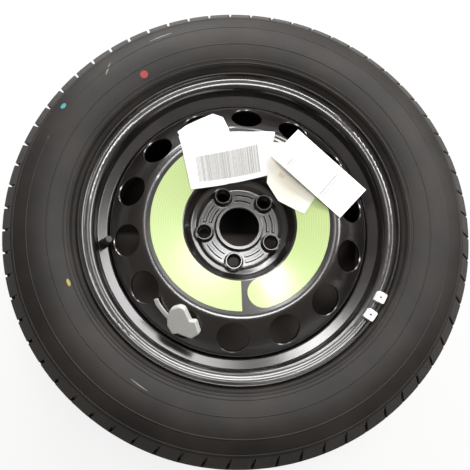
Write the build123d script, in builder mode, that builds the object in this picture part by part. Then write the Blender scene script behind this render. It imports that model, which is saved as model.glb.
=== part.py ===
from build123d import *
from math import atan2, cos, degrees, radians, sin, sqrt, tan
import os

# Steel spare wheel with its tyre, lying flat with the outer face up. Millimetres.
# The origin is the wheel's centre, on the middle plane of the rim, and +Z is the axle line, outward.

# Rim strip
BEAD_SEAT_R = 202.8
FLANGE_HEIGHT = 17.5
RIM_WIDTH = 165.1
RIM_SHEET = 2.8
LIP_WIDTH = 11.0
FLANGE_BEND = 9.5
HEEL_BEND = 6.5
LIP_BEVEL = 0.8
BEAD_SEAT_WIDTH = 22.0
BEAD_SEAT_TAPER = 5.0
LEDGE_SLOPE = 25.0
LEDGE_BEND = 5.0
WELL_DEPTH = 18.3
WELL_FOOT_Z = 2.0
WELL_BEND = 8.0

# Pressed disc
DISC_SHEET = 4.0
WHEEL_OFFSET = 45.0
BORE_R = 28.55
COLLAR_HEIGHT = 8.5
HUB_FACE_R = 57.0
HUB_STEP_RUN = 5.0
HUB_STEP_RISE = 4.5
HUB_SHELF = 7.5
HUB_SHELF_RISE = 2.7
DISH_WALL_RUN = 8.0
DISH_WALL_RISE = 17.8
CROWN_R = 134.0
CONE_RISE = 19.2
SLOPE_ANGLE = 35.0
SKIRT_LENGTH = 34.0
SKIRT_FIT = 0.1
HUB_BEND = 3.0
DISH_BEND = 6.0
CROWN_BEND = 13.0
SKIRT_BEND = 10.0
CLOCK_ANGLE = 189.0
VENT_COUNT = 14
VENT_R = 157.5
VENT_DIAMETER = 44.0
VENT_BEVEL = 1.2
BOLT_COUNT = 5
BOLT_CIRCLE = 100.0
BOLT_HOLE_R = 7.5
BOLT_SEAT_R = 10.2
BOLT_SEAT_ANGLE = 60.0
BOSS_R = 14.0
BOSS_HEIGHT = 11.0
BOSS_DRAFT = 14.0
HUB_RIB_PLACES = (41.5, 49.5)
HUB_RIB_WIDTH = 5.4
HUB_RIB_HEIGHT = 4.0
HUB_RIB_DRAFT = 1.3
HUB_RIB_ARC = 33.0
WELD_COUNT = 4
WELD_ARC = 38.0
WELD_LEG = 4.0
WELD_FIT = 0.05

# Tyre
TYRE_R = 329.5
TYRE_WIDTH = 219.0
TREAD_WIDTH = 156.0
CROWN_DROP = 7.0
WIDEST_SHARE = 0.42
BUTTRESS_DEPTH = 15.5
BUTTRESS_RUN = 18.0
RIM_RIB_STANDOFF = 9.2
rim_rib_rECESS = 10.5
RIM_RIB_DEPTH = 5.6
BEAD_FIT = 0.3
BEAD_BASE = 18.5
BEAD_TOE_HEIGHT = 7.5
BEAD_WALL = 15.5
TREAD_THICKNESS = 14.0
SHOULDER_WALL = 13.5
SIDEWALL = 9.0
GROOVE_DEPTH = 7.5
GROOVE_WIDTH = 9.0
GROOVE_DRAFT = 1.2
GROOVE_PLACES = (17.0, 46.0)
TREAD_PITCHES = 64
SLOT_WIDTH = 3.8
SLOT_DEPTH = 6.5
SLOT_REACH = 24.0
SLOT_SKEW = 9.0

# Snap-in valve, measured along its own axis from the ledge
VALVE_ANGLE = 188.0
VALVE_SETBACK = 9.6
VALVE_HOLE_R = 5.75
VALVE_NECK_FIT = 0.1
VALVE_HEAD_R = 8.2
VALVE_HEAD_HEIGHT = 5.0
VALVE_HEAD_BEVEL = 1.4
VALVE_SHOULDER_R = 6.8
VALVE_SHOULDER_HEIGHT = 4.0
VALVE_TIP_R = 5.6
VALVE_BODY_LENGTH = 13.5
STEM_R = 3.85
STEM_TIP = 24.6
STEM_WALL_R = 2.7
STEM_PASSAGE_R = 1.9
STEM_FLOOR = 12.0
CORE_FIT = 0.08
CORE_DROP = 1.6
CORE_BARREL_LENGTH = 6.6
CORE_SLEEVE_R = 1.55
CORE_SLEEVE_LENGTH = 3.4
CORE_CAVITY_R = 1.65
CORE_FLOOR = 0.9
GASKET_LENGTH = 2.2
PIN_R = 0.75
PIN_HEAD_R = 1.5
PIN_HEAD_HEIGHT = 0.7
PIN_TRAVEL = 1.2
PIN_PROUD = 1.2
PIN_FOOT = 1.9
PIN_SEAL_R = 1.6
PIN_SEAL_HEIGHT = 1.3
SEAL_GAP = 0.1
SPRING_WIRE = 0.32
SPRING_WIRE_SIDES = 6
SPRING_TURNS = 4
SPRING_GAP = 0.06
CAP_FIT = 0.08
CAP_WALL = 1.15
CAP_TOP = 1.5
CAP_START = 0.6
CAP_SEAL = 0.7
CAP_SEAL_R = 1.9

# What is stuck on, clipped to or laid on the wheel
STICKER = 0.3
STICKER_FIT = 0.05
RING_INNER_MARGIN = 2.6
RING_WIDTH = 43.0
RING_GAP_START = 270.5
RING_GAP = 4.9
PAPER = 0.4
LABEL_LIFT = 0.15
BARCODE_CORNERS = ((-68.4, 48.3), (39.0, 70.5), (49.5, 130.5), (-86.5, 125.5))
CORNER_LABEL_CORNERS = ((-88.5, 134.5), (-76.5, 145.5), (-38.0, 166.5), (-23.5, 157.5), (-10.0, 112.0),
                        (-70.0, 92.0))
CARD_CORNERS = ((38.6, 60.9), (54.9, 34.9), (89.5, 13.9), (108.0, 41.0), (80.0, 95.0), (63.0, 113.5),
                (44.0, 115.5))
LONG_LABEL_SIZE = (128.0, 56.0)
LONG_LABEL_CENTRE = (109.6, 69.5)
LONG_LABEL_TURN = -43.5
WEIGHT_ANGLES = (323.4, 330.8)
WEIGHT_LENGTH = 14.4
WEIGHT_CORNER = 3.8
WEIGHT_SPARE = 1.0
WEIGHT_RIVET_R = 1.6
WEIGHT_RIVET_DEPTH = 2.0
WEIGHT_FIT = 0.15
WEIGHT_BULGE = 2.6
WEIGHT_CLIP = 0.9
WEIGHT_HOOK = 3.0
WEIGHT_WRAP = 8.0
TAG_ANGLE = 240.0
TAG_THICKNESS = 9.0
TAG_ROUND = 2.4
TAG_FIT = 0.3
TAG_OUTLINE = ((-19.0, -2.0), (-21.5, 14.0), (-9.0, 28.0), (9.7, 12.8), (15.5, 17.0), (28.5, 3.5),
               (22.0, -10.0), (3.0, -13.5), (-3.0, -18.5), (-14.5, -11.5))
TAG_BENDS = (4.0, 9.0, 9.0, 2.0, 3.0, 4.0, 4.0, 3.0, 3.0, 3.5)
TAIL_ROUTE = ((-15.0, -3.6), (-29.5, 2.1), (-39.8, 7.2), (-44.6, 12.1))
TAIL_WIDTH = 5.2
TAIL_THICKNESS = 3.0
TAIL_BEND = 12.0

os.makedirs("parts", exist_ok=True)

# Rim section, tyre side
flange_r = BEAD_SEAT_R + FLANGE_HEIGHT
face_z = RIM_WIDTH / 2
lip_z = face_z + LIP_WIDTH
seat_end_z = face_z - BEAD_SEAT_WIDTH
seat_end_r = BEAD_SEAT_R - BEAD_SEAT_WIDTH * tan(radians(BEAD_SEAT_TAPER))
well_r = BEAD_SEAT_R - WELL_DEPTH
well_bore_r = well_r - RIM_SHEET
well_top_z = seat_end_z - (seat_end_r - well_r) * tan(radians(LEDGE_SLOPE))

# Valve hole in the ledge, square to it, pointing outward and towards the axle line
valve_turn = radians(VALVE_ANGLE)
ledge_lean = radians(LEDGE_SLOPE)
valve_axis_r = -sin(ledge_lean)
valve_axis_z = cos(ledge_lean)
valve_r = seat_end_r - VALVE_SETBACK * cos(ledge_lean) + RIM_SHEET * valve_axis_r
valve_z = seat_end_z - VALVE_SETBACK * sin(ledge_lean) + RIM_SHEET * valve_axis_z
valve_point = Vector(valve_r * cos(valve_turn), valve_r * sin(valve_turn), valve_z)
valve_dir = Vector(valve_axis_r * cos(valve_turn), valve_axis_r * sin(valve_turn), valve_axis_z)
valve_side = Vector(-sin(valve_turn), cos(valve_turn), 0)
valve_axis = Axis(valve_point, valve_dir)
valve_section = Plane(origin=valve_point, x_dir=valve_side, z_dir=valve_side.cross(valve_dir))
valve_plane = Plane(origin=valve_point, x_dir=valve_side, z_dir=valve_dir)

outer_bends = (FLANGE_BEND, HEEL_BEND, LEDGE_BEND, LEDGE_BEND)
with BuildPart() as rim:
    with BuildSketch(Plane.XZ) as rim_section:
        with BuildLine():
            FilletPolyline(
                (flange_r, lip_z),
                (flange_r, face_z),
                (BEAD_SEAT_R, face_z),
                (seat_end_r, seat_end_z),
                (well_r, well_top_z),
                (well_r, WELL_FOOT_Z),
                (seat_end_r, -seat_end_z),
                (BEAD_SEAT_R, -face_z),
                (flange_r, -face_z),
                (flange_r, -lip_z),
                radius=(*outer_bends, WELL_BEND, WELL_BEND, HEEL_BEND, FLANGE_BEND),
            )
            offset(amount=RIM_SHEET, side=Side.RIGHT)
        make_face()
        lip_ends = rim_section.vertices().group_by(Axis.Y)
        chamfer(lip_ends[0] + lip_ends[-1], length=LIP_BEVEL)
    revolve(axis=Axis.Z)
    with BuildSketch(valve_plane):
        Circle(VALVE_HOLE_R)
    extrude(amount=2 * RIM_SHEET, both=True, mode=Mode.SUBTRACT)

# Disc section, outer side, from the hub collar to the end of the skirt
hub_z = WHEEL_OFFSET + DISC_SHEET
collar_r = BORE_R + DISC_SHEET
shelf_r = HUB_FACE_R + HUB_STEP_RUN
shelf_z = hub_z + HUB_STEP_RISE
wall_foot_r = shelf_r + HUB_SHELF
cone_foot_r = wall_foot_r + DISH_WALL_RUN
wall_foot_z = shelf_z + HUB_SHELF_RISE
cone_foot_z = wall_foot_z + DISH_WALL_RISE
crown_z = cone_foot_z + CONE_RISE
cone_slope = CONE_RISE / (CROWN_R - cone_foot_r)
skirt_r = well_bore_r - SKIRT_FIT
slope_fall = tan(radians(SLOPE_ANGLE))
skirt_top_z = crown_z - (skirt_r - CROWN_R) * slope_fall
skirt_end_z = skirt_top_z - SKIRT_LENGTH
vent_z = crown_z - (VENT_R - CROWN_R) * slope_fall
slope_normal = (sin(radians(SLOPE_ANGLE)), 0, cos(radians(SLOPE_ANGLE)))
boss_top_z = hub_z + BOSS_HEIGHT

with BuildPart() as vent_punch:
    vent_plane = Plane(origin=(VENT_R, 0, vent_z), x_dir=(0, 1, 0), z_dir=slope_normal)
    with BuildSketch(vent_plane):
        Circle(VENT_DIAMETER / 2)
    extrude(amount=3 * DISC_SHEET, both=True)
    with BuildSketch(vent_plane.offset(-VENT_BEVEL)):
        Circle(VENT_DIAMETER / 2)
    extrude(amount=2 * VENT_BEVEL, taper=-45)


def section_plane(angle):
    """The half plane through the axle line at this angle, with its first axis radial."""
    turn = radians(angle)
    return Plane(origin=(0, 0, 0), x_dir=(cos(turn), sin(turn), 0), z_dir=(sin(turn), -cos(turn), 0))


with BuildPart() as wheel_disc:
    with BuildSketch(Plane.XZ):
        with BuildLine():
            FilletPolyline(
                (collar_r, hub_z + COLLAR_HEIGHT),
                (collar_r, hub_z),
                (HUB_FACE_R, hub_z),
                (shelf_r, shelf_z),
                (wall_foot_r, wall_foot_z),
                (cone_foot_r, cone_foot_z),
                (CROWN_R, crown_z),
                (skirt_r, skirt_top_z),
                (skirt_r, skirt_end_z),
                radius=(HUB_BEND, HUB_BEND, HUB_BEND, DISH_BEND, DISH_BEND, CROWN_BEND, SKIRT_BEND),
            )
            offset(amount=DISC_SHEET, side=Side.RIGHT)
        make_face()
    revolve(axis=Axis.Z)
    with BuildSketch(Plane.XY.offset(hub_z)):
        with PolarLocations(BOLT_CIRCLE / 2, BOLT_COUNT, start_angle=CLOCK_ANGLE):
            Circle(BOSS_R)
    extrude(amount=BOSS_HEIGHT, taper=BOSS_DRAFT)
    for rib in range(BOLT_COUNT):
        rib_start = CLOCK_ANGLE + 360 / BOLT_COUNT * (rib + 0.5) - HUB_RIB_ARC / 2
        with BuildSketch(section_plane(rib_start)):
            for place in HUB_RIB_PLACES:
                with BuildLine():
                    Polyline(
                        (place - HUB_RIB_WIDTH / 2, hub_z - HUB_RIB_DRAFT),
                        (place + HUB_RIB_WIDTH / 2, hub_z - HUB_RIB_DRAFT),
                        (place + HUB_RIB_WIDTH / 2 - HUB_RIB_DRAFT, hub_z + HUB_RIB_HEIGHT),
                        (place - HUB_RIB_WIDTH / 2 + HUB_RIB_DRAFT, hub_z + HUB_RIB_HEIGHT),
                        close=True,
                    )
                make_face()
        revolve(axis=Axis.Z, revolution_arc=HUB_RIB_ARC)
    with Locations((0, 0, boss_top_z)):
        with PolarLocations(BOLT_CIRCLE / 2, BOLT_COUNT, start_angle=CLOCK_ANGLE):
            CounterSinkHole(
                radius=BOLT_HOLE_R,
                counter_sink_radius=BOLT_SEAT_R,
                depth=2 * (BOSS_HEIGHT + DISC_SHEET),
                counter_sink_angle=BOLT_SEAT_ANGLE,
            )
    with PolarLocations(0, VENT_COUNT, start_angle=CLOCK_ANGLE):
        add(vent_punch.part, mode=Mode.SUBTRACT)

# Fillet welds in the corner between the end of the skirt and the rim well
weld_r = well_bore_r - WELD_FIT
weld_z = skirt_end_z - WELD_FIT
with BuildPart() as disc_welds:
    for weld in range(WELD_COUNT):
        weld_start = CLOCK_ANGLE + 360 / WELD_COUNT * (weld + 0.5) - WELD_ARC / 2
        with BuildSketch(section_plane(weld_start)):
            with BuildLine():
                Polyline(
                    (weld_r, weld_z),
                    (weld_r, weld_z - WELD_LEG),
                    (weld_r - WELD_LEG, weld_z),
                    close=True,
                )
            make_face()
        revolve(axis=Axis.Z, revolution_arc=WELD_ARC)

# Tyre section. The tread is an arc, the sidewall a larger bulge, and the bead follows the rim.
shoulder_r = TYRE_R - CROWN_DROP
shoulder_z = TREAD_WIDTH / 2
buttress_r = shoulder_r - BUTTRESS_DEPTH
buttress_z = shoulder_z + BUTTRESS_RUN
widest_z = TYRE_WIDTH / 2
rim_rib_r = flange_r + RIM_RIB_STANDOFF
widest_r = rim_rib_r + (buttress_r - rim_rib_r) * WIDEST_SHARE
rim_rib_z = widest_z - rim_rib_rECESS
bend_r = flange_r - FLANGE_BEND
bend_z = face_z + FLANGE_BEND
clinch_foot_r = bend_r + (FLANGE_BEND + BEAD_FIT) * tan(radians(22.5))
clinch_r = bend_r + (FLANGE_BEND + BEAD_FIT) * sin(radians(45))
clinch_z = bend_z - (FLANGE_BEND + BEAD_FIT) * cos(radians(45))
clinch_top_r = rim_rib_r - RIM_RIB_DEPTH / 2
clinch_top_z = clinch_z + clinch_top_r - clinch_r
bead_face_z = face_z - BEAD_FIT
heel_r = BEAD_SEAT_R + HEEL_BEND
bead_r = BEAD_SEAT_R + BEAD_FIT
toe_z = face_z - BEAD_BASE
toe_r = bead_r - BEAD_BASE * tan(radians(BEAD_SEAT_TAPER))
crown_arc_r = (shoulder_z**2 + CROWN_DROP**2) / (2 * CROWN_DROP)
liner_r = TYRE_R - TREAD_THICKNESS


def crown_height(z):
    """Radius of the tread arc at this distance from the middle plane."""
    return TYRE_R - crown_arc_r + sqrt(crown_arc_r**2 - z**2)


slot_start_z = shoulder_z - SLOT_REACH
skew = radians(SLOT_SKEW)
slot_plane = Plane(origin=(0, 0, 0), x_dir=(1, 0, 0), z_dir=(0, -cos(skew), sin(skew)))

with BuildPart() as shoulder_slot:
    with BuildSketch(slot_plane):
        with BuildLine():
            Polyline(
                (TYRE_R + SLOT_DEPTH, slot_start_z),
                (TYRE_R + SLOT_DEPTH, widest_z),
                (buttress_r, widest_z),
                (buttress_r, buttress_z),
                (shoulder_r - SLOT_DEPTH, shoulder_z),
                (crown_height(slot_start_z) - SLOT_DEPTH, slot_start_z),
                close=True,
            )
        make_face()
    extrude(amount=SLOT_WIDTH / 2, both=True)

with BuildPart() as tyre:
    with BuildSketch(Plane.XZ):
        with BuildLine():
            ThreePointArc((shoulder_r, -shoulder_z), (TYRE_R, 0), (shoulder_r, shoulder_z))
            for side in (1, -1):
                Line((shoulder_r, side * shoulder_z), (buttress_r, side * buttress_z))
                ThreePointArc(
                    (buttress_r, side * buttress_z),
                    (widest_r, side * widest_z),
                    (rim_rib_r, side * rim_rib_z),
                )
                Polyline(
                    (rim_rib_r, side * rim_rib_z),
                    (clinch_top_r, side * clinch_top_z),
                    (clinch_r, side * clinch_z),
                    (clinch_foot_r, side * bead_face_z),
                    (heel_r, side * bead_face_z),
                    (bead_r, side * (face_z - HEEL_BEND)),
                    (toe_r, side * toe_z),
                    (toe_r + BEAD_TOE_HEIGHT, side * toe_z),
                    (rim_rib_r, side * (rim_rib_z - BEAD_WALL)),
                    (widest_r, side * (widest_z - SIDEWALL)),
                    (buttress_r - SHOULDER_WALL, side * (buttress_z - SIDEWALL / 3)),
                    (shoulder_r - SHOULDER_WALL, side * shoulder_z),
                    (liner_r, 0),
                )
        make_face()
        for place in GROOVE_PLACES:
            groove_floor = crown_height(place) - GROOVE_DEPTH
            for side in (1, -1):
                with BuildLine():
                    Polyline(
                        (TYRE_R + GROOVE_DEPTH, side * (place - GROOVE_WIDTH / 2 - GROOVE_DRAFT)),
                        (TYRE_R + GROOVE_DEPTH, side * (place + GROOVE_WIDTH / 2 + GROOVE_DRAFT)),
                        (groove_floor, side * (place + GROOVE_WIDTH / 2 - GROOVE_DRAFT)),
                        (groove_floor, side * (place - GROOVE_WIDTH / 2 + GROOVE_DRAFT)),
                        close=True,
                    )
                make_face(mode=Mode.SUBTRACT)
    revolve(axis=Axis.Z)
    with PolarLocations(0, TREAD_PITCHES):
        add(shoulder_slot.part, mode=Mode.SUBTRACT)
        add(mirror(shoulder_slot.part, about=Plane.XY, mode=Mode.PRIVATE), mode=Mode.SUBTRACT)

# Valve pieces, each turned about the valve axis: (radius, distance along the axis)
neck_r = VALVE_HOLE_R - VALVE_NECK_FIT
head_z = -RIM_SHEET - VALVE_NECK_FIT
body_end = VALVE_BODY_LENGTH
stem_foot = head_z - VALVE_HEAD_HEIGHT
core_top = STEM_TIP - CORE_DROP
barrel_r = STEM_WALL_R - CORE_FIT
barrel_foot = core_top - CORE_BARREL_LENGTH
sleeve_foot = barrel_foot - CORE_SLEEVE_LENGTH
cavity_floor = barrel_foot + CORE_FLOOR
pin_hole_r = PIN_R + CORE_FIT
pin_tip = core_top + PIN_PROUD
head_top = core_top - SEAL_GAP
head_under = head_top - PIN_HEAD_HEIGHT
pin_foot = sleeve_foot - PIN_FOOT
seal_top = sleeve_foot - SEAL_GAP
cap_inner_r = STEM_R + CAP_FIT
cap_outer_r = cap_inner_r + CAP_WALL
cap_foot = body_end + CAP_START
seal_foot = STEM_TIP + SEAL_GAP
cap_ceiling = seal_foot + CAP_SEAL + STICKER_FIT
cap_top = cap_ceiling + CAP_TOP


with BuildPart() as valve_body:
    with BuildSketch(valve_section):
        with BuildLine():
            Polyline(
                (STEM_R, stem_foot),
                (VALVE_HEAD_R - VALVE_HEAD_BEVEL, stem_foot),
                (VALVE_HEAD_R, head_z - VALVE_HEAD_HEIGHT / 2),
                (VALVE_HEAD_R - VALVE_HEAD_BEVEL, head_z),
                (neck_r, head_z),
                (neck_r, VALVE_NECK_FIT),
                (VALVE_SHOULDER_R, VALVE_NECK_FIT),
                (VALVE_SHOULDER_R, VALVE_SHOULDER_HEIGHT),
                (VALVE_TIP_R, body_end),
                (STEM_R, body_end),
                close=True,
            )
        make_face()
    revolve(axis=valve_axis)

with BuildPart() as valve_stem:
    with BuildSketch(valve_section):
        with BuildLine():
            Polyline(
                (STEM_PASSAGE_R, stem_foot),
                (STEM_R, stem_foot),
                (STEM_R, STEM_TIP),
                (STEM_WALL_R, STEM_TIP),
                (STEM_WALL_R, STEM_FLOOR),
                (STEM_PASSAGE_R, STEM_FLOOR - (STEM_WALL_R - STEM_PASSAGE_R)),
                close=True,
            )
        make_face()
    revolve(axis=valve_axis)

with BuildPart() as valve_core_barrel:
    with BuildSketch(valve_section):
        with BuildLine():
            Polyline(
                (pin_hole_r, sleeve_foot),
                (CORE_SLEEVE_R, sleeve_foot),
                (CORE_SLEEVE_R, barrel_foot),
                (barrel_r, barrel_foot),
                (barrel_r, core_top),
                (CORE_CAVITY_R, core_top),
                (CORE_CAVITY_R, cavity_floor),
                (pin_hole_r, cavity_floor),
                close=True,
            )
        make_face()
    revolve(axis=valve_axis)

with BuildPart() as valve_core_gasket:
    with BuildSketch(valve_section):
        with BuildLine():
            Polyline(
                (CORE_SLEEVE_R + CORE_FIT, barrel_foot - GASKET_LENGTH),
                (barrel_r - GASKET_LENGTH / 4, barrel_foot - GASKET_LENGTH),
                (barrel_r, barrel_foot - GASKET_LENGTH / 3),
                (barrel_r, barrel_foot - CORE_FIT),
                (CORE_SLEEVE_R + CORE_FIT, barrel_foot - CORE_FIT),
                close=True,
            )
        make_face()
    revolve(axis=valve_axis)

with BuildPart() as valve_pin:
    with BuildSketch(valve_section):
        with BuildLine():
            Polyline(
                (0, pin_foot),
                (PIN_R, pin_foot),
                (PIN_R, head_under),
                (PIN_HEAD_R, head_under),
                (PIN_HEAD_R, head_top),
                (PIN_R, head_top),
                (PIN_R, pin_tip),
                (0, pin_tip),
                close=True,
            )
        make_face()
    revolve(axis=valve_axis)

with BuildPart() as valve_pin_seal:
    with BuildSketch(valve_section):
        with BuildLine():
            Polyline(
                (PIN_R + CORE_FIT, seal_top - PIN_SEAL_HEIGHT),
                (PIN_SEAL_R - PIN_SEAL_HEIGHT / 3, seal_top - PIN_SEAL_HEIGHT),
                (PIN_SEAL_R, seal_top),
                (PIN_R + CORE_FIT, seal_top),
                close=True,
            )
        make_face()
    revolve(axis=valve_axis)

# Closing spring round the pin, between the barrel's floor and the head of the pin
spring_r = (PIN_R + CORE_CAVITY_R) / 2
spring_start = cavity_floor + SPRING_WIRE / 2 + SPRING_GAP
spring_height = head_under - SPRING_GAP - SPRING_WIRE / 2 - spring_start
with BuildPart() as valve_spring:
    with BuildLine() as coil:
        Helix(
            pitch=spring_height / SPRING_TURNS,
            height=spring_height,
            radius=spring_r,
            center=valve_point + valve_dir * spring_start,
            direction=valve_dir,
        )
    with BuildSketch(Plane(origin=coil.line @ 0, z_dir=coil.line % 0)):
        RegularPolygon(SPRING_WIRE / 2, SPRING_WIRE_SIDES)
    sweep(path=coil.line, is_frenet=True)

with BuildPart() as valve_cap:
    with BuildSketch(valve_section):
        with BuildLine():
            Polyline(
                (cap_inner_r, cap_foot),
                (cap_outer_r, cap_foot),
                (cap_outer_r, cap_top - CAP_WALL),
                (cap_outer_r - CAP_WALL, cap_top),
                (0, cap_top),
                (0, cap_ceiling),
                (cap_inner_r, cap_ceiling),
                close=True,
            )
        make_face()
    revolve(axis=valve_axis)

with BuildPart() as valve_cap_seal:
    with BuildSketch(valve_plane.offset(seal_foot)):
        Circle(cap_inner_r - CAP_FIT)
        Circle(CAP_SEAL_R, mode=Mode.SUBTRACT)
    extrude(amount=CAP_SEAL)

# Vinyl ring on the dished cone, open at the bottom, with one square and one rounded end
cone_angle = atan2(CONE_RISE, CROWN_R - cone_foot_r)
ring_inner = cone_foot_r + RING_INNER_MARGIN
ring_outer = ring_inner + RING_WIDTH


def cone_z(r):
    """Height of the cone's outer face at this radius."""
    return cone_foot_z + (r - cone_foot_r) * cone_slope


sticker_low = STICKER_FIT / cos(cone_angle)
sticker_high = (STICKER_FIT + STICKER) / cos(cone_angle)
ring_middle = (ring_inner + ring_outer) / 2
ring_end_angle = RING_GAP_START + RING_GAP + degrees(RING_WIDTH / 2 / ring_middle)
ring_gap_reach = 2 * ring_outer


def around(radius, angle):
    """The point at this radius and angle about the axle line, seen from above."""
    return radius * cos(radians(angle)), radius * sin(radians(angle))


with BuildPart() as centre_ring_sticker:
    with BuildSketch(Plane.XZ):
        with BuildLine():
            Polyline(
                (ring_inner, cone_z(ring_inner) + sticker_low),
                (ring_outer, cone_z(ring_outer) + sticker_low),
                (ring_outer, cone_z(ring_outer) + sticker_high),
                (ring_inner, cone_z(ring_inner) + sticker_high),
                close=True,
            )
        make_face()
    revolve(axis=Axis.Z)
    with BuildSketch():
        Circle(ring_outer + STICKER)
        with BuildLine():
            Polyline(
                (0, 0),
                around(ring_gap_reach, RING_GAP_START),
                around(ring_gap_reach, ring_end_angle),
                close=True,
            )
        make_face(mode=Mode.SUBTRACT)
        with Locations(around(ring_middle, ring_end_angle)):
            Circle(RING_WIDTH / 2)
    extrude(amount=2 * crown_z, mode=Mode.INTERSECT)

# Paper labels that follow the cone and the crown
label_inner_r = shelf_r
label_outer_r = skirt_r - SKIRT_BEND


def paper_over_disc(lift):
    """Section of a sheet that lies on the cone, the crown and the slope, raised by lift."""
    with BuildSketch(Plane.XZ) as sheet:
        for height, mode in ((lift + PAPER, Mode.ADD), (lift, Mode.SUBTRACT)):
            with BuildLine():
                FilletPolyline(
                    (label_inner_r, cone_z(label_inner_r)),
                    (CROWN_R, crown_z),
                    (label_outer_r, crown_z - (label_outer_r - CROWN_R) * slope_fall),
                    radius=CROWN_BEND,
                )
                offset(amount=height, side=Side.LEFT)
            make_face(mode=mode)
    return sheet.sketch


low_lift = STICKER_FIT + STICKER + LABEL_LIFT
high_lift = low_lift + PAPER + LABEL_LIFT

with BuildPart() as corner_label:
    revolve(paper_over_disc(low_lift), axis=Axis.Z)
    with BuildSketch():
        Polygon(*CORNER_LABEL_CORNERS, align=None)
    extrude(amount=2 * crown_z, mode=Mode.INTERSECT)

with BuildPart() as barcode_label:
    revolve(paper_over_disc(high_lift), axis=Axis.Z)
    with BuildSketch():
        Polygon(*BARCODE_CORNERS, align=None)
    extrude(amount=2 * crown_z, mode=Mode.INTERSECT)

with BuildPart() as card_label:
    revolve(paper_over_disc(low_lift), axis=Axis.Z)
    with BuildSketch():
        Polygon(*CARD_CORNERS, align=None)
    extrude(amount=2 * crown_z, mode=Mode.INTERSECT)

# Stiff label that lies flat on top of the crown
crown_turn = cone_angle + radians(SLOPE_ANGLE)
crown_normal = (cone_angle - radians(SLOPE_ANGLE)) / 2
crown_top = crown_z - CROWN_BEND * cos(crown_normal) / cos(crown_turn / 2) + CROWN_BEND
with BuildPart() as long_label:
    with BuildSketch(Plane.XY.offset(crown_top + high_lift)):
        with Locations(LONG_LABEL_CENTRE):
            Rectangle(*LONG_LABEL_SIZE, rotation=LONG_LABEL_TURN)
    extrude(amount=PAPER)

# Balance weights: each fills the channel of the flange, and its clip hooks over the lip
heel_bend_r = HEEL_BEND + RIM_SHEET
heel_centre_r = BEAD_SEAT_R + HEEL_BEND * tan(radians(45 - BEAD_SEAT_TAPER / 2))
heel_centre_z = face_z - HEEL_BEND
channel_bend = FLANGE_BEND - RIM_SHEET - WEIGHT_FIT
channel_z = face_z + RIM_SHEET + WEIGHT_FIT
weight_wall_r = flange_r - RIM_SHEET - WEIGHT_FIT
weight_foot_r = heel_centre_r - (heel_bend_r + WEIGHT_FIT) * sin(radians(WEIGHT_WRAP))
weight_foot_z = heel_centre_z + (heel_bend_r + WEIGHT_FIT) * cos(radians(WEIGHT_WRAP))
clip_z = lip_z + WEIGHT_FIT
clip_r = flange_r + WEIGHT_FIT
weight_arc = degrees((WEIGHT_LENGTH + 4 * WEIGHT_SPARE) / flange_r)


def balance_weight_section(angle):
    """Section of a weight with its clip, at this angle round the rim."""
    with BuildSketch(section_plane(angle)) as section:
        with BuildLine():
            Polyline(
                (clip_r, lip_z - WEIGHT_HOOK),
                (clip_r, clip_z),
                (weight_wall_r, clip_z),
                (weight_wall_r, bend_z),
            )
            CenterArc((bend_r, bend_z), channel_bend, 0, -90)
            Line((bend_r, channel_z), (heel_centre_r, channel_z))
            CenterArc((heel_centre_r, heel_centre_z), heel_bend_r + WEIGHT_FIT, 90, WEIGHT_WRAP)
            ThreePointArc(
                (weight_foot_r, weight_foot_z),
                (bend_r - WEIGHT_BULGE, clip_z - WEIGHT_BULGE),
                (weight_wall_r, clip_z + WEIGHT_CLIP),
            )
            Polyline(
                (weight_wall_r, clip_z + WEIGHT_CLIP),
                (clip_r + WEIGHT_CLIP, clip_z + WEIGHT_CLIP),
                (clip_r + WEIGHT_CLIP, lip_z - WEIGHT_HOOK),
                (clip_r, lip_z - WEIGHT_HOOK),
            )
        make_face()
    return section.sketch


def balance_weight(angle):
    """A weight with rounded corners and the sunk end of its rivet, centred at this angle."""
    weight_middle_r = (weight_foot_r + clip_r + WEIGHT_CLIP) / 2
    weight_reach = clip_r + WEIGHT_CLIP - weight_foot_r + 2 * WEIGHT_SPARE
    with BuildPart() as weight:
        revolve(balance_weight_section(angle - weight_arc / 2), axis=Axis.Z, revolution_arc=weight_arc)
        with BuildSketch():
            with Locations(around(weight_middle_r, angle)):
                RectangleRounded(weight_reach, WEIGHT_LENGTH, WEIGHT_CORNER, rotation=angle)
        extrude(amount=2 * lip_z, mode=Mode.INTERSECT)
        with BuildSketch(Plane.XY.offset(clip_z - WEIGHT_RIVET_DEPTH)):
            with Locations(around(weight_middle_r, angle)):
                Circle(WEIGHT_RIVET_R)
        extrude(amount=2 * WEIGHT_RIVET_DEPTH, mode=Mode.SUBTRACT)
    return weight


balance_weight_lower = balance_weight(WEIGHT_ANGLES[0])
balance_weight_upper = balance_weight(WEIGHT_ANGLES[1])

# Soft plastic tag on the slope, over one vent
tag_turn = radians(TAG_ANGLE)
tag_normal = Vector(slope_normal[0] * cos(tag_turn), slope_normal[0] * sin(tag_turn), slope_normal[2])
tag_point = Vector(VENT_R * cos(tag_turn), VENT_R * sin(tag_turn), vent_z)
tag_side = (-sin(tag_turn), cos(tag_turn), 0)
tag_plane = Plane(origin=tag_point, x_dir=tag_side, z_dir=tag_normal).offset(TAG_FIT)
with BuildPart() as grey_tag:
    with BuildSketch(tag_plane):
        with BuildLine():
            FilletPolyline(*TAG_OUTLINE, radius=TAG_BENDS, close=True)
        make_face()
    extrude(amount=TAG_THICKNESS)
    fillet(grey_tag.faces().sort_by(Axis(tag_point, tag_normal))[-1].edges(), radius=TAG_ROUND)
    with BuildSketch(tag_plane):
        with BuildLine():
            FilletPolyline(*TAIL_ROUTE, radius=TAIL_BEND)
        trace(line_width=TAIL_WIDTH)
    extrude(amount=TAIL_THICKNESS)

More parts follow.
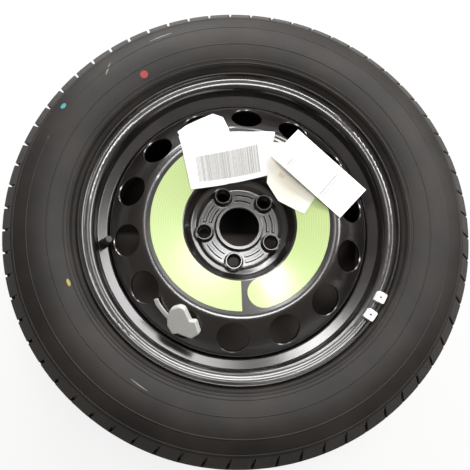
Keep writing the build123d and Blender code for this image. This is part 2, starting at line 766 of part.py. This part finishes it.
pieces = {
    "rim": rim,
    "wheel_disc": wheel_disc,
    "disc_welds": disc_welds,
    "tyre": tyre,
    "valve_body": valve_body,
    "valve_stem": valve_stem,
    "valve_core_barrel": valve_core_barrel,
    "valve_core_gasket": valve_core_gasket,
    "valve_pin": valve_pin,
    "valve_pin_seal": valve_pin_seal,
    "valve_spring": valve_spring,
    "valve_cap": valve_cap,
    "valve_cap_seal": valve_cap_seal,
    "centre_ring_sticker": centre_ring_sticker,
    "barcode_label": barcode_label,
    "corner_label": corner_label,
    "card_label": card_label,
    "long_label": long_label,
    "balance_weight_lower": balance_weight_lower,
    "balance_weight_upper": balance_weight_upper,
    "grey_tag": grey_tag,
}
for name, piece in pieces.items():
    piece.part.label = name
    export_step(piece.part, f"parts/{name}.step")
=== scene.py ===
# %% [markdown]
# A spare wheel for a car, lying flat with its outer face up. The steel, the tyre, the valve and the
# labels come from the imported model, which stays as it is. This script gives each of them its finish
# and adds the fine things that are too small to model as solids: mould ribs on the rubber, print on
# the paper, rivets, paint marks and a screw thread.

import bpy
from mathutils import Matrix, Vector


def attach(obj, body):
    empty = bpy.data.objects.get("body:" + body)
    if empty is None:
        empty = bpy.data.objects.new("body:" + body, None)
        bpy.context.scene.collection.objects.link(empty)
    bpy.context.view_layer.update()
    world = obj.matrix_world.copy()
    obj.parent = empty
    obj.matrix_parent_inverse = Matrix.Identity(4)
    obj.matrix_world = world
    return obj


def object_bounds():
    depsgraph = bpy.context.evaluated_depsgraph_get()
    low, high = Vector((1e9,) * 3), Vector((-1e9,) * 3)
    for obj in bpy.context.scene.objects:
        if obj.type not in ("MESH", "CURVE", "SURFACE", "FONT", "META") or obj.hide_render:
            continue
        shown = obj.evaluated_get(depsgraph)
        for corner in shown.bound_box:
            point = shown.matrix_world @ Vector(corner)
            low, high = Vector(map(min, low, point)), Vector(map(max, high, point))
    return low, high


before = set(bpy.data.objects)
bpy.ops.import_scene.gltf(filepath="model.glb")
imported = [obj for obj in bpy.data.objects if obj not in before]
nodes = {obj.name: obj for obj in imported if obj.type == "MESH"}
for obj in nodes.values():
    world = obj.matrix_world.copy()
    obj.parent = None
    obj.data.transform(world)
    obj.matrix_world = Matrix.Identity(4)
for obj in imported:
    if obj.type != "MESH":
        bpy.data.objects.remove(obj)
cad_box = [list(corner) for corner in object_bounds()]

from math import cos, pi, radians, sin
from random import Random

import bpy
from mathutils import Matrix, Vector

WHEEL = "wheel"
CAP = "cap"
print("pieces of the model:", sorted(nodes))
print("box of the model in metres:", cad_box)

# %% [markdown]
# Blender works in metres, and a wheel is drawn in millimetres and degrees, so two helpers turn one
# into the other. Colours are picked as sRGB hex values, the way a paint chart gives them, and a
# shader needs linear light, so a third helper converts them.

# %% Units and colours
MM = 0.001


def around(radius_mm, angle_deg):
    """The point at this radius and angle about the axle line, in metres."""
    turn = radians(angle_deg)
    return radius_mm * MM * cos(turn), radius_mm * MM * sin(turn)


def colour(hex_value):
    """An sRGB hex value as linear RGBA."""
    channels = [int(hex_value[i : i + 2], 16) / 255 for i in (1, 3, 5)]
    return [c / 12.92 if c <= 0.04045 else ((c + 0.055) / 1.055) ** 2.4 for c in channels] + [1.0]


# %% [markdown]
# Every finish is a small network of shader nodes. One function adds a node, sets its values and
# makes its links, so that a material reads as a list of what it is made of. A second one starts a
# material with its Principled shader, which takes the constant values on its own sockets.

# %% Helpers for materials


def add_node(tree, kind, inputs=None, **settings):
    """A new node: settings are its properties, inputs its socket values or the sockets linked to them."""
    made = tree.nodes.new(kind)
    for name, value in settings.items():
        setattr(made, name, value)
    for socket, value in (inputs or {}).items():
        if isinstance(value, bpy.types.NodeSocket):
            tree.links.new(value, made.inputs[socket])
        else:
            made.inputs[socket].default_value = value
    return made


def start_material(name, **sockets):
    """A material with a Principled shader, with these constant socket values."""
    material = bpy.data.materials.new(name)
    material.use_nodes = True
    shader = material.node_tree.nodes["Principled BSDF"]
    for socket, value in sockets.items():
        shader.inputs[socket.replace("_", " ")].default_value = value
    return material, material.node_tree, shader


def finish(material, *names):
    """Gives the material to these nodes of the model."""
    for name in names:
        mesh = nodes[name].data
        mesh.materials.clear()
        mesh.materials.append(material)
    print(material.name, "on", ", ".join(names))


# %% [markdown]
# The rim and the disc are pressed steel dipped in black enamel. Dip enamel dries to a gloss with a
# soft waviness a few millimetres wide, and storage leaves a thin uneven dust on it. The waviness is
# a noise bump, and the dust a second noise that lifts the colour and dulls the gloss together.

# %% Black dip enamel
ENAMEL_WAVE_MM = 7.0
DUST_PATCH_MM = 45.0
GRIT_MM = 1.6


def black_dip_enamel():
    material, tree, shader = start_material(
        "black_dip_enamel", IOR=1.5, Coat_Weight=1.0, Coat_Roughness=0.18, Coat_IOR=1.65
    )
    place = add_node(tree, "ShaderNodeTexCoord").outputs["Object"]
    dust = add_node(
        tree, "ShaderNodeTexNoise", {"Vector": place, "Scale": 1 / (DUST_PATCH_MM * MM), "Detail": 4}
    )
    grit = add_node(tree, "ShaderNodeTexNoise", {"Vector": place, "Scale": 1 / (GRIT_MM * MM), "Detail": 2})
    both = add_node(
        tree, "ShaderNodeMath", {0: dust.outputs["Fac"], 1: grit.outputs["Fac"]}, operation="MULTIPLY"
    )
    settled = add_node(
        tree, "ShaderNodeMapRange", {"Value": both.outputs[0], "From Min": 0.2, "From Max": 0.42}
    )
    paint = add_node(tree, "ShaderNodeMix", data_type="RGBA")
    tree.links.new(settled.outputs["Result"], paint.inputs["Factor"])
    paint.inputs["A"].default_value = colour("#120E0D")
    paint.inputs["B"].default_value = colour("#241D1A")
    tree.links.new(paint.outputs["Result"], shader.inputs["Base Color"])
    dull = add_node(
        tree, "ShaderNodeMapRange", {"Value": settled.outputs["Result"], "To Min": 0.3, "To Max": 0.42}
    )
    tree.links.new(dull.outputs["Result"], shader.inputs["Roughness"])
    wave = add_node(
        tree, "ShaderNodeTexNoise", {"Vector": place, "Scale": 1 / (ENAMEL_WAVE_MM * MM), "Detail": 1}
    )
    bump = add_node(
        tree, "ShaderNodeBump", {"Height": wave.outputs["Fac"], "Strength": 0.05, "Distance": 0.2 * MM}
    )
    tree.links.new(bump.outputs["Normal"], shader.inputs["Normal"])
    return material


finish(black_dip_enamel(), "rim", "wheel_disc", "disc_welds")

# %% [markdown]
# A tyre is moulded from carbon-black rubber. The mould's turned face leaves very fine rings on the
# sidewall, and the rubber dries to a dusty grey-brown with paler scuffed patches. The rings are a
# wave texture in rings about the axle line. Real ones are about 0.4 mm apart, too fine to show here,
# so they are drawn 2.4 mm apart.

# %% Tyre rubber
MOULD_RING_MM = 2.4
SCUFF_PATCH_MM = 70.0
RUBBER_GRAIN_MM = 1.1


def moulded_tyre_rubber():
    material, tree, shader = start_material("moulded_tyre_rubber", IOR=1.5)
    place = add_node(tree, "ShaderNodeTexCoord").outputs["Object"]
    patch = add_node(
        tree, "ShaderNodeTexNoise", {"Vector": place, "Scale": 1 / (SCUFF_PATCH_MM * MM), "Detail": 5}
    )
    grain = add_node(
        tree, "ShaderNodeTexNoise", {"Vector": place, "Scale": 1 / (RUBBER_GRAIN_MM * MM), "Detail": 2}
    )
    rings = add_node(
        tree,
        "ShaderNodeTexWave",
        {"Vector": place, "Scale": 2 * pi / 20 / (MOULD_RING_MM * MM)},
        wave_type="RINGS",
        rings_direction="Z",
    )
    worn = add_node(
        tree, "ShaderNodeMapRange", {"Value": patch.outputs["Fac"], "From Min": 0.35, "From Max": 0.7}
    )
    rubber = add_node(tree, "ShaderNodeMix", data_type="RGBA")
    tree.links.new(worn.outputs["Result"], rubber.inputs["Factor"])
    rubber.inputs["A"].default_value = colour("#171310")
    rubber.inputs["B"].default_value = colour("#292420")
    tree.links.new(rubber.outputs["Result"], shader.inputs["Base Color"])
    dry = add_node(tree, "ShaderNodeMapRange", {"Value": grain.outputs["Fac"], "To Min": 0.5, "To Max": 0.72})
    tree.links.new(dry.outputs["Result"], shader.inputs["Roughness"])
    ring_bump = add_node(
        tree, "ShaderNodeBump", {"Height": rings.outputs["Fac"], "Strength": 0.1, "Distance": 0.1 * MM}
    )
    grain_bump = add_node(
        tree,
        "ShaderNodeBump",
        {
            "Height": grain.outputs["Fac"],
            "Normal": ring_bump.outputs["Normal"],
            "Strength": 0.25,
            "Distance": 0.15 * MM,
        },
    )
    tree.links.new(grain_bump.outputs["Normal"], shader.inputs["Normal"])
    return material


tyre_rubber = moulded_tyre_rubber()
finish(tyre_rubber, "tyre")

# %% [markdown]
# The rest are small pieces with one finish each: rubber and brass in the valve, moulded plastic on
# the cap and the tag, coated zinc on the weights, vinyl on the ring and coated paper on the labels.
# They share one recipe, a base colour broken by a fine grain that also moves the roughness and the
# bump, because no real surface is quite even.

# %% Small finishes


def grained_finish(name, light, dark, grain_mm, rough, bump_mm, **sockets):
    """A finish whose colour and roughness vary over a grain of this size, with a bump of this depth."""
    material, tree, shader = start_material(name, **sockets)
    place = add_node(tree, "ShaderNodeTexCoord").outputs["Object"]
    grain = add_node(tree, "ShaderNodeTexNoise", {"Vector": place, "Scale": 1 / (grain_mm * MM), "Detail": 3})
    tone = add_node(tree, "ShaderNodeMix", data_type="RGBA")
    tree.links.new(grain.outputs["Fac"], tone.inputs["Factor"])
    tone.inputs["A"].default_value = colour(dark)
    tone.inputs["B"].default_value = colour(light)
    tree.links.new(tone.outputs["Result"], shader.inputs["Base Color"])
    dull = add_node(
        tree, "ShaderNodeMapRange", {"Value": grain.outputs["Fac"], "To Min": rough[0], "To Max": rough[1]}
    )
    tree.links.new(dull.outputs["Result"], shader.inputs["Roughness"])
    bump = add_node(
        tree, "ShaderNodeBump", {"Height": grain.outputs["Fac"], "Strength": 0.4, "Distance": bump_mm * MM}
    )
    tree.links.new(bump.outputs["Normal"], shader.inputs["Normal"])
    return material


valve_rubber = grained_finish("moulded_valve_rubber", "#1F1E1D", "#141312", 0.8, (0.45, 0.65), 0.05, IOR=1.5)
valve_brass = grained_finish("turned_brass", "#C9A35A", "#A98544", 0.5, (0.22, 0.4), 0.02, Metallic=1.0)
seal_rubber = grained_finish("moulded_seal_rubber", "#2A2928", "#1C1B1B", 0.6, (0.5, 0.7), 0.03, IOR=1.5)
spring_steel = grained_finish(
    "drawn_spring_steel", "#9A9A98", "#7C7C7A", 0.3, (0.25, 0.4), 0.01, Metallic=1.0
)
cap_plastic = grained_finish("moulded_nylon", "#3A3936", "#262523", 0.7, (0.38, 0.55), 0.04, IOR=1.53)
weight_coat = grained_finish("powder_coated_zinc", "#FCFCFA", "#EDEDEA", 0.9, (0.4, 0.55), 0.04, IOR=1.5)
tag_plastic = grained_finish("soft_vinyl_moulding", "#DADBD7", "#BFC0BC", 2.2, (0.45, 0.6), 0.08, IOR=1.53)
label_paper = grained_finish("coated_label_paper", "#FFFFFF", "#F7F7F8", 1.4, (0.45, 0.55), 0.02, IOR=1.5)
card_paper = grained_finish("tinted_label_paper", "#FFFFFA", "#FBF8E2", 28.0, (0.45, 0.55), 0.02, IOR=1.5)
finish(valve_rubber, "valve_body")
finish(valve_brass, "valve_core_barrel", "valve_pin")
finish(seal_rubber, "valve_core_gasket", "valve_pin_seal", "valve_cap_seal")
finish(spring_steel, "valve_spring")
finish(cap_plastic, "valve_cap")
finish(weight_coat, "balance_weight_lower", "balance_weight_upper")
finish(tag_plastic, "grey_tag")
finish(label_paper, "barcode_label", "corner_label", "long_label")
finish(card_paper, "card_label")

# %% [markdown]
# The brass stem carries a fine screw thread for the cap, 0.79 mm from turn to turn. The distance
# along the valve's own axis, turned into a sine, gives the bump of its turns.

# %% Threaded stem
VALVE_ANGLE = 188.0
VALVE_LEAN = 25.0
THREAD_PITCH_MM = 0.79
lean = radians(VALVE_LEAN)
inward_x, inward_y = around(-1000 * sin(lean), VALVE_ANGLE)
valve_dir = Vector((inward_x, inward_y, cos(lean)))


def threaded_brass():
    material, tree, shader = start_material("thread_cut_brass", Metallic=1.0)
    shader.inputs["Base Color"].default_value = colour("#BE9850")
    place = add_node(tree, "ShaderNodeTexCoord").outputs["Object"]
    along = add_node(tree, "ShaderNodeVectorMath", {0: place, 1: valve_dir}, operation="DOT_PRODUCT")
    turns = add_node(
        tree,
        "ShaderNodeMath",
        {0: along.outputs["Value"], 1: 2 * pi / (THREAD_PITCH_MM * MM)},
        operation="MULTIPLY",
    )
    flank = add_node(tree, "ShaderNodeMath", {0: turns.outputs[0]}, operation="SINE")
    dull = add_node(
        tree,
        "ShaderNodeMapRange",
        {"Value": flank.outputs[0], "From Min": -1.0, "To Min": 0.45, "To Max": 0.25},
    )
    tree.links.new(dull.outputs["Result"], shader.inputs["Roughness"])
    bump = add_node(
        tree, "ShaderNodeBump", {"Height": flank.outputs[0], "Strength": 0.8, "Distance": 0.2 * MM}
    )
    tree.links.new(bump.outputs["Normal"], shader.inputs["Normal"])
    return material


finish(threaded_brass(), "valve_stem")

# %% [markdown]
# The ring is self-adhesive vinyl printed lime green. Seen close, the print has faint streaks that
# run round the ring, and the smooth film takes a soft glare. Rings in a wave texture, broken by
# noise, give the streaks.

# %% Printed vinyl
STREAK_MM = 3.2


def printed_green_vinyl():
    material, tree, shader = start_material(
        "printed_green_vinyl", Roughness=0.35, IOR=1.5, Coat_Weight=1.0, Coat_Roughness=0.14
    )
    place = add_node(tree, "ShaderNodeTexCoord").outputs["Object"]
    streaks = add_node(
        tree,
        "ShaderNodeTexWave",
        {
            "Vector": place,
            "Scale": 2 * pi / 20 / (STREAK_MM * MM),
            "Distortion": 1.5,
            "Detail": 3,
            "Detail Scale": 0.6,
        },
        wave_type="RINGS",
        rings_direction="Z",
    )
    ink = add_node(tree, "ShaderNodeMix", data_type="RGBA")
    tree.links.new(streaks.outputs["Fac"], ink.inputs["Factor"])
    ink.inputs["A"].default_value = colour("#B6CC86")
    ink.inputs["B"].default_value = colour("#C2D694")
    tree.links.new(ink.outputs["Result"], shader.inputs["Base Color"])
    bump = add_node(
        tree, "ShaderNodeBump", {"Height": streaks.outputs["Fac"], "Strength": 0.06, "Distance": 0.1 * MM}
    )
    tree.links.new(bump.outputs["Normal"], shader.inputs["Normal"])
    return material


finish(printed_green_vinyl(), "centre_ring_sticker")

# %% [markdown]
# Fine pieces lie on curved surfaces whose shape is already in the model. Dropping a ray straight
# down onto a node gives the height of its surface at any place, so ribs, print and paint marks can
# be drawn flat, in plan, and then laid on.

# %% Laying flat shapes on the model
DROP_HEIGHT = 0.3


def lay_on(name, x, y, lift_mm):
    """The point of this node's upper surface at x and y, lifted along the surface's normal."""
    hit, point, normal, _ = nodes[name].ray_cast(Vector((x, y, DROP_HEIGHT)), Vector((0, 0, -1)))
    if not hit:
        raise ValueError(f"nothing of {name} lies under {x:.3f}, {y:.3f}")
    return point + normal * lift_mm * MM


def add_piece(name, vertices, faces, material, body=WHEEL, smooth=True):
    """A mesh object of these vertices and faces that moves with the body."""
    mesh = bpy.data.meshes.new(name)
    mesh.from_pydata([tuple(v) for v in vertices], [], faces)
    mesh.validate()
    mesh.polygons.foreach_set("use_smooth", [smooth] * len(mesh.polygons))
    mesh.materials.append(material)
    piece = bpy.data.objects.new(name, mesh)
    bpy.context.scene.collection.objects.link(piece)
    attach(piece, body)
    return piece


def grid_faces(rows, columns, closed=False):
    """Faces of a grid of points, row by row; closed joins the last row to the first."""
    faces = []
    for i in range(rows if closed else rows - 1):
        for j in range(columns - 1):
            a = i * columns + j
            b = (i + 1) % rows * columns + j
            faces.append((a, b, b + 1, a + 1))
    return faces


# %% [markdown]
# Raised rings run round the sidewall. One sits just outside the rim, where the fitter checks that
# the bead is seated, and others frame the middle of the wall. Each is a low rounded rib.

# %% Sidewall ribs
RIB_TURNS = 256
SIDEWALL_RIBS = (
    (231.5, 2.2, 0.9),
    (236.5, 1.6, 0.6),
    (257.0, 1.8, 0.5),
    (284.0, 2.4, 0.6),
    (303.5, 2.0, 0.8),
)


def sidewall_rib(name, radius_mm, width_mm, height_mm):
    section = [(-1.0, -0.15), (-0.6, 0.75), (0.0, 1.0), (0.6, 0.75), (1.0, -0.15)]
    points = []
    for step in range(RIB_TURNS):
        angle = 360 * step / RIB_TURNS
        for across, up in section:
            x, y = around(radius_mm + across * width_mm / 2, angle)
            points.append(lay_on("tyre", x, y, up * height_mm))
    faces = grid_faces(RIB_TURNS, len(section), closed=True)
    return add_piece(name, points, faces, tyre_rubber)


for index, (radius, width, height) in enumerate(SIDEWALL_RIBS):
    rib = sidewall_rib(f"sidewall_rib_{index + 1}", radius, width, height)
print("sidewall ribs:", len(SIDEWALL_RIBS))

# %% [markdown]
# The paper labels carry plain print: a field of bars, faint grey lines and an amber patch. Each bar is
# a narrow strip laid on the paper, and a fixed seed picks the widths, so the field comes out the same
# each time.

# %% Print on the labels
PRINT_LIFT_MM = 0.06
STRIP_STEPS = 10
BAR_FIELD_MM = ((-56.7, 59.4), (33.2, 76.4), (28.3, 113.3), (-62.3, 93.1))
BAR_PITCH = 0.0105
BAR_SEED = 5
LINE_PITCH = 0.08
LINE_SEED = 3
bar_ink = grained_finish("thermal_print_black", "#B4B4B0", "#9A9A95", 0.9, (0.5, 0.6), 0.01, IOR=1.5)
faint_ink = grained_finish("faded_print_grey", "#A6A6A2", "#94948F", 0.9, (0.5, 0.6), 0.01, IOR=1.5)
amber_ink = grained_finish("faded_print_amber", "#FAEBCB", "#F5DFB4", 2.0, (0.5, 0.6), 0.01, IOR=1.5)


def in_field(field, across, up):
    """A point of a four-cornered field in millimetres: across and up run from 0 to 1."""
    a, b, c, d = (Vector(corner) for corner in field)
    return (a.lerp(b, across)).lerp(d.lerp(c, across), up) * MM


def add_strips(name, node, field, spans, material):
    """Strips that run up a field of the node, each between two shares of its width."""
    points = []
    faces = []
    for left, right in spans:
        first = len(points)
        for step in range(STRIP_STEPS):
            for across in (left, right):
                x, y = in_field(field, across, step / (STRIP_STEPS - 1))
                points.append(lay_on(node, x, y, PRINT_LIFT_MM))
        faces += [tuple(first + i for i in face) for face in grid_faces(STRIP_STEPS, 2)]
    return add_piece(name, points, faces, material)


def bar_spans(pitch, seed):
    """Bars and gaps of a few widths, picked by the seed, as shares of the field's width."""
    pick = Random(seed)
    spans = []
    place = 0.0
    while place < 1 - 4 * pitch:
        width = pitch * pick.choice((0.5, 0.5, 0.8, 1.2))
        spans.append((place, place + width))
        place += width + pitch * pick.choice((0.4, 0.5, 0.8))
    return spans


add_strips("barcode_bars", "barcode_label", BAR_FIELD_MM, bar_spans(BAR_PITCH, BAR_SEED), bar_ink)
FAINT_BLOCKS_MM = {
    "label_print_left": ((62.0, 82.0), (72.0, 72.0), (82.0, 83.0), (72.0, 93.0)),
    "label_print_right": ((107.0, 40.0), (117.0, 30.0), (143.0, 60.0), (133.0, 70.0)),
}
for name, field in FAINT_BLOCKS_MM.items():
    add_strips(name, "long_label", field, bar_spans(LINE_PITCH, LINE_SEED), faint_ink)
AMBER_FIELD_MM = ((54.0, 70.0), (61.0, 65.0), (64.0, 69.0), (57.0, 75.0))
add_strips("label_print_amber", "card_label", AMBER_FIELD_MM, ((0.0, 1.0),), amber_ink)
print("bars on the label:", len(bar_spans(BAR_PITCH, BAR_SEED)))

# %% [markdown]
# The factory dots a tyre with paint to mark its light and its high spot, and handling leaves pale
# scuffs. Each is a thin patch laid on the sidewall: a disc for a dot, and a strip that narrows at
# both ends for a scuff.

# %% Paint marks and scuffs
MARK_LIFT_MM = 0.12
DOT_SIDES = 24
red_paint = grained_finish("brushed_red_paint", "#B23A34", "#8C2A27", 2.0, (0.5, 0.65), 0.05, IOR=1.5)
cyan_paint = grained_finish("brushed_cyan_paint", "#4FA9B0", "#3A858C", 2.0, (0.5, 0.65), 0.05, IOR=1.5)
yellow_paint = grained_finish("brushed_yellow_paint", "#B9A94A", "#94873A", 2.0, (0.5, 0.65), 0.05, IOR=1.5)
scuff_dust = grained_finish("rubbed_pale_dust", "#8E8C86", "#6A6862", 2.5, (0.7, 0.85), 0.03, IOR=1.45)


def paint_dot(name, radius_mm, angle_deg, long_mm, wide_mm, material):
    """An oval patch on the sidewall, long round the tyre and wide towards the tread."""
    points = [lay_on("tyre", *around(radius_mm, angle_deg), MARK_LIFT_MM)]
    for step in range(DOT_SIDES):
        turn = 2 * pi * step / DOT_SIDES
        out = radius_mm + wide_mm / 2 * cos(turn)
        shift = long_mm / 2 * sin(turn) / radius_mm * 180 / pi
        points.append(lay_on("tyre", *around(out, angle_deg + shift), MARK_LIFT_MM))
    faces = [(0, step + 1, (step + 1) % DOT_SIDES + 1) for step in range(DOT_SIDES)]
    return add_piece(name, points, faces, material)


def scuff(name, start, end, width_mm):
    """A strip from one radius and angle to another, widest in the middle."""
    points = []
    for step in range(STRIP_STEPS):
        share = step / (STRIP_STEPS - 1)
        radius = start[0] + (end[0] - start[0]) * share
        angle = start[1] + (end[1] - start[1]) * share
        half = width_mm / 2 * sin(pi * (0.08 + 0.84 * share))
        for side in (-1, 1):
            points.append(lay_on("tyre", *around(radius + side * half, angle), MARK_LIFT_MM))
    return add_piece(name, points, grid_faces(STRIP_STEPS, 2), scuff_dust)


paint_dot("red_dot", 247, 123.2, 11, 10, red_paint)
paint_dot("cyan_dot", 291, 147.2, 9, 7, cyan_paint)
paint_dot("yellow_dash", 241, 201.3, 10, 4, yellow_paint)
SCUFFS = (
    ((289, 129.3), (277, 132.7), 3.0),
    ((290, 109.6), (289, 116.5), 2.0),
    ((284, 155.5), (284, 158.5), 2.5),
    ((252, 236.0), (254, 242.0), 1.6),
)
for index, (start, end, width) in enumerate(SCUFFS):
    scuff(f"scuff_{index + 1}", start, end, width)
print("marks on the tyre:", 3 + len(SCUFFS))

# %% [markdown]
# Two small things finish the metal and the plastic: the dark end of the rivet in each balance
# weight, and the grip ribs round the valve cap.

# %% Rivets and grip ribs
RIVET_R_MM = 1.4
RIVET_LIFT_MM = 0.1
WEIGHT_MIDDLE_MM = 214.4
WEIGHT_ANGLES = {"balance_weight_lower": 323.4, "balance_weight_upper": 330.8}
CAP_RIBS = 14
CAP_RIB_MM = 0.45
CAP_RIB_ENDS = (0.12, 0.78)
rivet_steel = grained_finish("oxidised_rivet_steel", "#4A4B4C", "#343536", 0.7, (0.4, 0.55), 0.03, IOR=1.5)
for node, angle in WEIGHT_ANGLES.items():
    centre_x, centre_y = around(WEIGHT_MIDDLE_MM, angle)
    points = [lay_on(node, centre_x, centre_y, RIVET_LIFT_MM)]
    for step in range(DOT_SIDES):
        edge_x, edge_y = around(RIVET_R_MM, 360 * step / DOT_SIDES)
        points.append(lay_on(node, centre_x + edge_x, centre_y + edge_y, RIVET_LIFT_MM))
    faces = [(0, step + 1, (step + 1) % DOT_SIDES + 1) for step in range(DOT_SIDES)]
    add_piece(node + "_rivet", points, faces, rivet_steel, smooth=False)

cap_points = [Vector(v.co) for v in nodes["valve_cap"].data.vertices]
cap_along = [v.dot(valve_dir) for v in cap_points]
cap_foot = min(cap_along)
cap_length = max(cap_along) - cap_foot
on_axis = sum(cap_points, Vector()) / len(cap_points)
cap_r = max((v - on_axis - valve_dir * (v - on_axis).dot(valve_dir)).length for v in cap_points)
cap_side = valve_dir.orthogonal().normalized()
cap_other = valve_dir.cross(cap_side)
points = []
faces = []
for rib in range(CAP_RIBS):
    first = len(points)
    for share in CAP_RIB_ENDS:
        foot = on_axis + valve_dir * (cap_foot + cap_length * share - on_axis.dot(valve_dir))
        for step, rise in ((-1, -0.1), (-0.5, 0.8), (0.5, 0.8), (1, -0.1)):
            turn = 2 * pi * rib / CAP_RIBS + step * CAP_RIB_MM * MM / cap_r
            out = cap_side * cos(turn) + cap_other * sin(turn)
            points.append(foot + out * (cap_r + rise * CAP_RIB_MM * MM))
    faces += [tuple(first + i for i in face) for face in grid_faces(2, 4)]
    faces += [tuple(first + i for i in (0, 1, 2, 3)), tuple(first + i for i in (7, 6, 5, 4))]
add_piece("valve_cap_ribs", points, faces, cap_plastic, body=CAP, smooth=False)
print("ribs on the cap:", CAP_RIBS)

# %% [markdown]
# The light in the photograph comes from bright areas behind the wheel and to its right and a softer
# one overhead, in an even room. Gloss black shows little but what it mirrors, so the shape and place
# of the panels matter more than their power: the small window makes the glare on the vinyl, the wide
# one at the side brightens the rim's ledge, and the low one grazes the slope and the tyre's far
# shoulder. A pale floor carries the wheel and takes its shadow, and
# seen directly it glows a little, so that the ground around the wheel is as white as the photograph's.
# Under the disc lies a dark patch of painted shade in place of the shaded floor. It is paler on the near side
# and darker on the far side, and it keeps the vents and the bore dark.

# %% Floor, light and camera
FLOOR_SIZE = 6.0
FLOOR_GLOW = 0.85
SHADE_DISC_R_MM = 285.0
SHADE_DISC_SIDES = 96
SHADE_DISC_LIFT = 0.0005
SHADE_SPLIT = (0.022, 0.03)
LIGHT_AIM = Vector((0, 0, 0.08))
LIGHT_PANELS = {
    "window": ((-0.3, 1.12, 1.32), 0.36, 0.3, 6),
    "low_window": ((-0.42, 1.44, 0.72), 0.9, 0.3, 15),
    "side_window": ((0.95, 0.86, 1.2), 2.0, 0.5, 26),
    "ceiling": ((0.1, 0.12, 1.9), 0.45, 0.45, 12),
}
ROOM_LIGHT = 0.25
floor_z = cad_box[0][2]
floor_mesh = bpy.data.meshes.new("floor")
half = FLOOR_SIZE / 2
floor_mesh.from_pydata(
    [(-half, -half, floor_z), (half, -half, floor_z), (half, half, floor_z), (-half, half, floor_z)],
    [],
    [(0, 1, 2, 3)],
)
floor = bpy.data.objects.new("floor", floor_mesh)
bpy.context.scene.collection.objects.link(floor)
floor_paint, floor_tree, floor_shader = start_material("pale_floor", Roughness=0.9)
floor_shader.inputs["Base Color"].default_value = colour("#F4F4F2")
seen = add_node(floor_tree, "ShaderNodeLightPath").outputs["Is Camera Ray"]
share = add_node(floor_tree, "ShaderNodeMath", {0: seen, 1: FLOOR_GLOW}, operation="MULTIPLY")
glow = add_node(floor_tree, "ShaderNodeEmission", {"Strength": 1.0})
mixed = add_node(
    floor_tree,
    "ShaderNodeMixShader",
    {0: share.outputs[0], 1: floor_shader.outputs["BSDF"], 2: glow.outputs["Emission"]},
)
floor_tree.links.new(mixed.outputs["Shader"], floor_tree.nodes["Material Output"].inputs["Surface"])
floor_mesh.materials.append(floor_paint)

# Painted shade: a dark disc on the floor under the wheel, standing in for the shade that falls there.
shade_disc_mesh = bpy.data.meshes.new("painted_shade_disc")
shade_disc_edge = [around(SHADE_DISC_R_MM, 360 * step / SHADE_DISC_SIDES) for step in range(SHADE_DISC_SIDES)]
shade_disc_mesh.from_pydata([(x, y, floor_z + SHADE_DISC_LIFT) for x, y in shade_disc_edge], [], [tuple(range(SHADE_DISC_SIDES))])
painted_shade_disc = bpy.data.objects.new("painted_shade_disc", shade_disc_mesh)
bpy.context.scene.collection.objects.link(painted_shade_disc)
painted_shade_paint, shade_tree, shade_shader = start_material("painted_floor_shade", Roughness=0.95)
shade_place = add_node(shade_tree, "ShaderNodeTexCoord").outputs["Object"]
shade_axes = add_node(shade_tree, "ShaderNodeSeparateXYZ", {"Vector": shade_place})
painted_shade_side = add_node(
    shade_tree,
    "ShaderNodeMapRange",
    {"Value": shade_axes.outputs["Y"], "From Min": SHADE_SPLIT[0], "From Max": SHADE_SPLIT[1]},
)
# Painted shade: paler on the near side of the wheel, darker on the far side.
shade_tone = add_node(shade_tree, "ShaderNodeMix", data_type="RGBA")
shade_tree.links.new(painted_shade_side.outputs["Result"], shade_tone.inputs["Factor"])
shade_tone.inputs["A"].default_value = colour("#6A615C")
shade_tone.inputs["B"].default_value = colour("#1E1917")
shade_tree.links.new(shade_tone.outputs["Result"], shade_shader.inputs["Base Color"])
shade_disc_mesh.materials.append(painted_shade_paint)


def light_panel(name, place, width, height, power):
    """A rectangular soft light at place, facing the wheel."""
    lamp = bpy.data.lights.new(name, "AREA")
    lamp.shape = "RECTANGLE"
    lamp.size = width
    lamp.size_y = height
    lamp.energy = power
    panel = bpy.data.objects.new(name, lamp)
    panel.location = place
    panel.rotation_euler = (LIGHT_AIM - Vector(place)).to_track_quat("-Z", "Y").to_euler()
    bpy.context.scene.collection.objects.link(panel)
    return panel


for name, (place, width, height, power) in LIGHT_PANELS.items():
    light_panel(name, place, width, height, power)

world = bpy.data.worlds.new("even_room")
world.use_nodes = True
world.node_tree.nodes["Background"].inputs["Color"].default_value = colour("#FFF4EC")
world.node_tree.nodes["Background"].inputs["Strength"].default_value = ROOM_LIGHT
bpy.context.scene.world = world
bpy.context.scene.view_settings.view_transform = "Standard"

LENS_MM = 47.8
CAMERA_PLACE = (-0.0562, -0.2097, 0.9148)
CAMERA_RIGHT = Vector((0.9984, -0.0057, 0.0571))
CAMERA_UP = Vector((-0.0073, 0.9745, 0.2242))
lens = bpy.data.cameras.new("camera")
lens.lens = LENS_MM
lens.sensor_width = 36.0
lens.sensor_fit = "HORIZONTAL"
camera = bpy.data.objects.new("camera", lens)
turn = Matrix((CAMERA_RIGHT, CAMERA_UP, CAMERA_RIGHT.cross(CAMERA_UP))).transposed().to_4x4()
camera.matrix_world = Matrix.Translation(CAMERA_PLACE) @ turn
bpy.context.scene.collection.objects.link(camera)
bpy.context.scene.camera = camera
